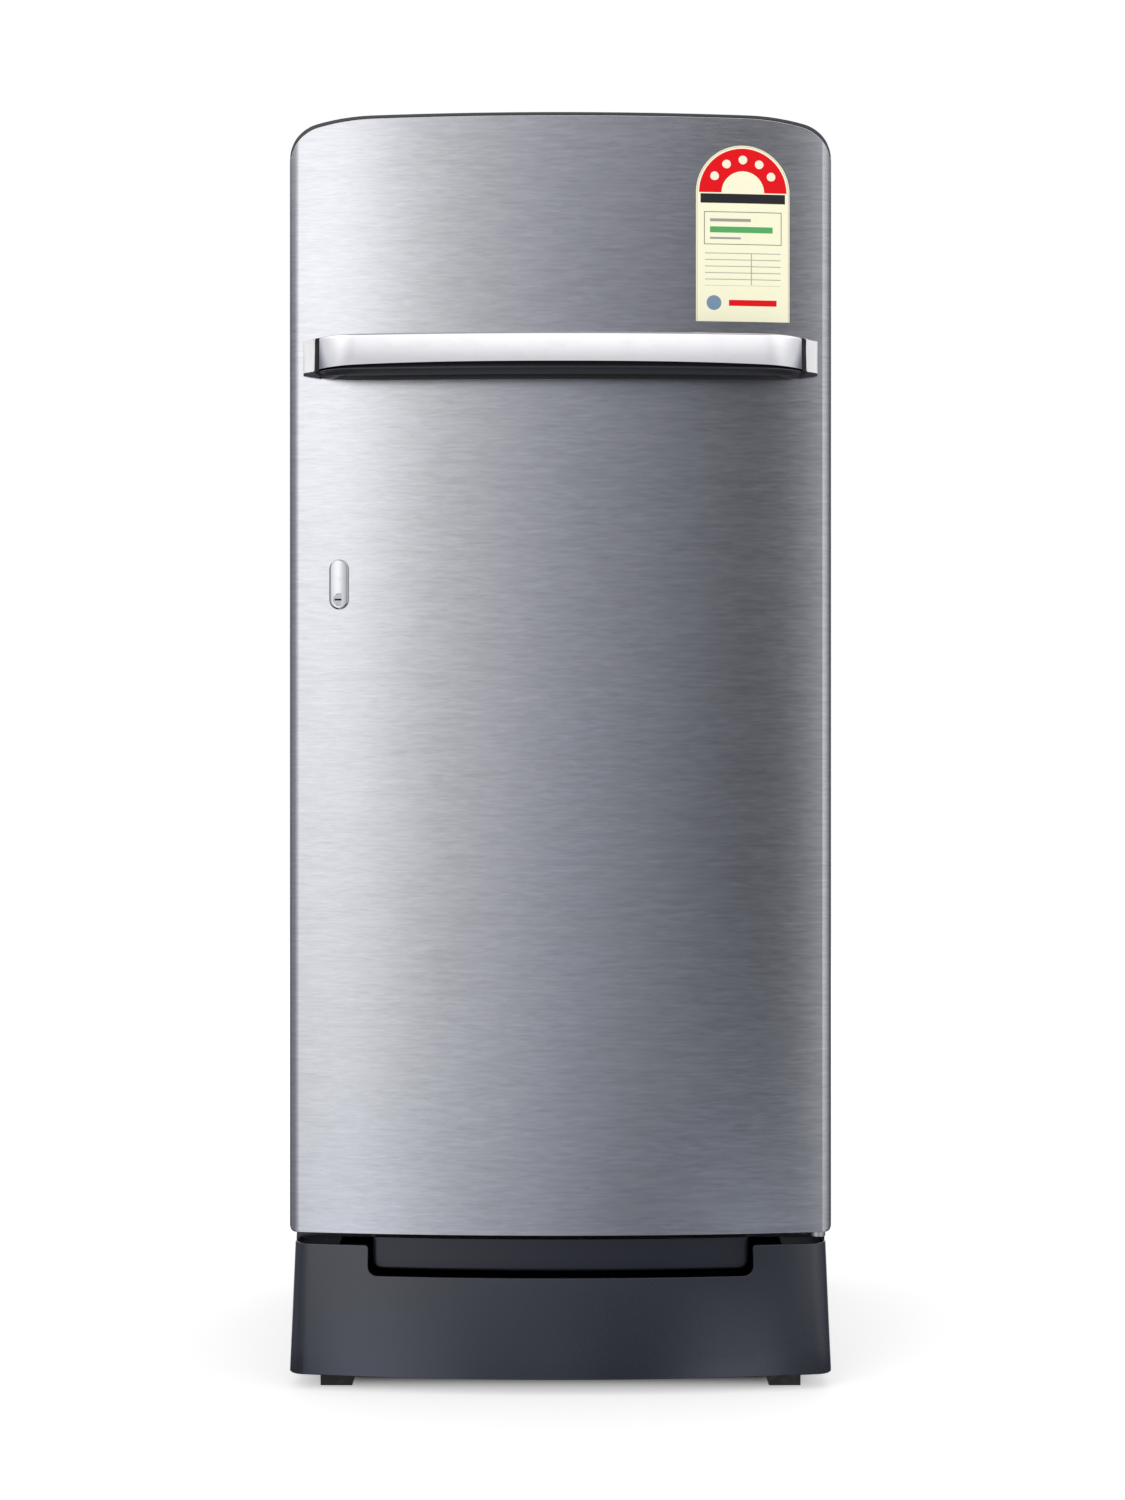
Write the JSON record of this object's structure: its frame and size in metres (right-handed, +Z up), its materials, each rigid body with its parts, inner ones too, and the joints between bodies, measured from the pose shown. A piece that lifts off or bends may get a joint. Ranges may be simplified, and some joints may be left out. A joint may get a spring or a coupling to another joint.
{
  "type": "single door refrigerator",
  "caption": "Upright single door refrigerator with a bowed steel door, bar handle, door lock, shelves, ice compartment and a pull-out drawer in its base stand.",
  "frame": {"origin": "on the floor, under the middle of the object's overall box", "axes": "+Z up, the door faces -Y, and +X is towards the hinge side"},
  "size_m": [0.5474, 0.65, 1.2773],
  "materials": {
    "door_steel": "satin",
    "cabinet_paint": "satin",
    "plated_steel": "satin",
    "chrome": "polished",
    "black_plastic": "satin",
    "base_plastic": "satin",
    "rail_plastic": "satin",
    "white_plastic": "satin",
    "clear_plastic": "gloss",
    "foam": "matte",
    "glass": "gloss",
    "seal_rubber": "matte",
    "black_rubber": "matte",
    "aluminium": "satin",
    "black_metal": "satin",
    "copper": "satin",
    "lock_chrome": "satin",
    "label_paper": "gloss",
    "button_plastic": "gloss"
  },
  "bodies": {
    "cabinet": {"cabinet_shell": "cabinet_paint", "rear_panel": "plated_steel", "insulation_foam": "foam", "inner_liner": "white_plastic", "compressor_deck": "plated_steel", "top_hinge_bracket": "plated_steel", "top_hinge_cover": "base_plastic", "bottom_hinge_bracket": "plated_steel", "hinge_screws": "plated_steel", "freezer_box": "aluminium", "freezer_front_frame": "white_plastic", "chiller_tray_rails": "white_plastic", "shelf_glass_upper": "glass", "shelf_glass_lower": "glass", "crisper_cover_glass": "glass", "shelf_trims": "white_plastic", "control_box": "white_plastic", "lamp_cover": "clear_plastic", "light_switch_body": "white_plastic", "lock_strike": "white_plastic", "compressor_shell": "black_metal", "compressor_base": "plated_steel", "compressor_grommets": "black_rubber", "terminal_cover": "black_plastic", "evaporation_tray": "black_plastic", "refrigerant_pipes": "copper", "filter_drier": "copper", "condenser_tube": "black_metal", "condenser_wires": "black_metal", "condenser_brackets": "black_plastic", "wall_spacers": "black_plastic", "stand_frame": "base_plastic", "stand_front_rail": "rail_plastic", "stand_feet": "black_rubber"},
    "door": {"door_skin": "door_steel", "door_foam": "foam", "door_top_cap": "black_plastic", "door_bottom_cap": "black_plastic", "door_liner": "white_plastic", "door_gasket": "seal_rubber", "door_hinge_bushes": "white_plastic", "handle_bar": "chrome", "handle_grip": "black_plastic", "handle_end_caps": "chrome", "handle_bands": "black_plastic", "lock_escutcheon": "lock_chrome", "efficiency_label": "label_paper", "egg_rack": "clear_plastic", "door_bins": "clear_plastic", "bottle_bin": "clear_plastic"},
    "lock": {"lock_cylinder": "lock_chrome", "lock_cam": "plated_steel"},
    "freezer_flap": {"freezer_flap": "white_plastic"},
    "chiller_tray": {"chiller_tray": "clear_plastic"},
    "crisper": {"crisper": "clear_plastic"},
    "thermostat_knob": {"thermostat_knob": "white_plastic"},
    "defrost_button": {"defrost_button": "button_plastic"},
    "light_switch_plunger": {"light_switch_plunger": "white_plastic"},
    "base_drawer": {"drawer_front": "base_plastic", "drawer_tray": "black_plastic"}
  },
  "joints": [
    {"name": "door_hinge", "type": "hinge", "parent": "cabinet", "child": "door", "pos_m": [0.26, -0.243, 0.7], "axis": [0, 0, 1], "range_deg": [0, 110]},
    {"name": "lock_turn", "type": "hinge", "parent": "door", "child": "lock", "pos_m": [-0.2215, -0.25, 0.7932], "axis": [0, -1, 0], "range_deg": [0, 90]},
    {"name": "freezer_flap_hinge", "type": "hinge", "parent": "cabinet", "child": "freezer_flap", "pos_m": [0, -0.107, 1.192], "axis": [-1, 0, 0], "range_deg": [0, 50]},
    {"name": "chiller_tray_slide", "type": "slide", "parent": "cabinet", "child": "chiller_tray", "axis": [0, -1, 0], "range_m": [0, 0.105]},
    {"name": "crisper_slide", "type": "slide", "parent": "cabinet", "child": "crisper", "axis": [0, -1, 0], "range_m": [0, 0.036]},
    {"name": "thermostat_turn", "type": "hinge", "parent": "cabinet", "child": "thermostat_knob", "pos_m": [0.186, -0.025, 0.917], "axis": [-1, 0, 0], "range_deg": [0, 280]},
    {"name": "defrost_press", "type": "slide", "parent": "thermostat_knob", "child": "defrost_button", "axis": [1, 0, 0], "range_m": [0, 0.003], "stiffness_N_per_m": 300},
    {"name": "light_switch_slide", "type": "slide", "parent": "cabinet", "child": "light_switch_plunger", "axis": [0, -1, 0], "range_m": [0, 0.006]},
    {"name": "base_drawer_slide", "type": "slide", "parent": "cabinet", "child": "base_drawer", "axis": [0, -1, 0], "range_m": [0, 0.25]}
  ],
  "couplings": [
    {"joint": "light_switch_slide", "follows": "door_hinge", "m_per_rad": 0.0031}
  ]
}
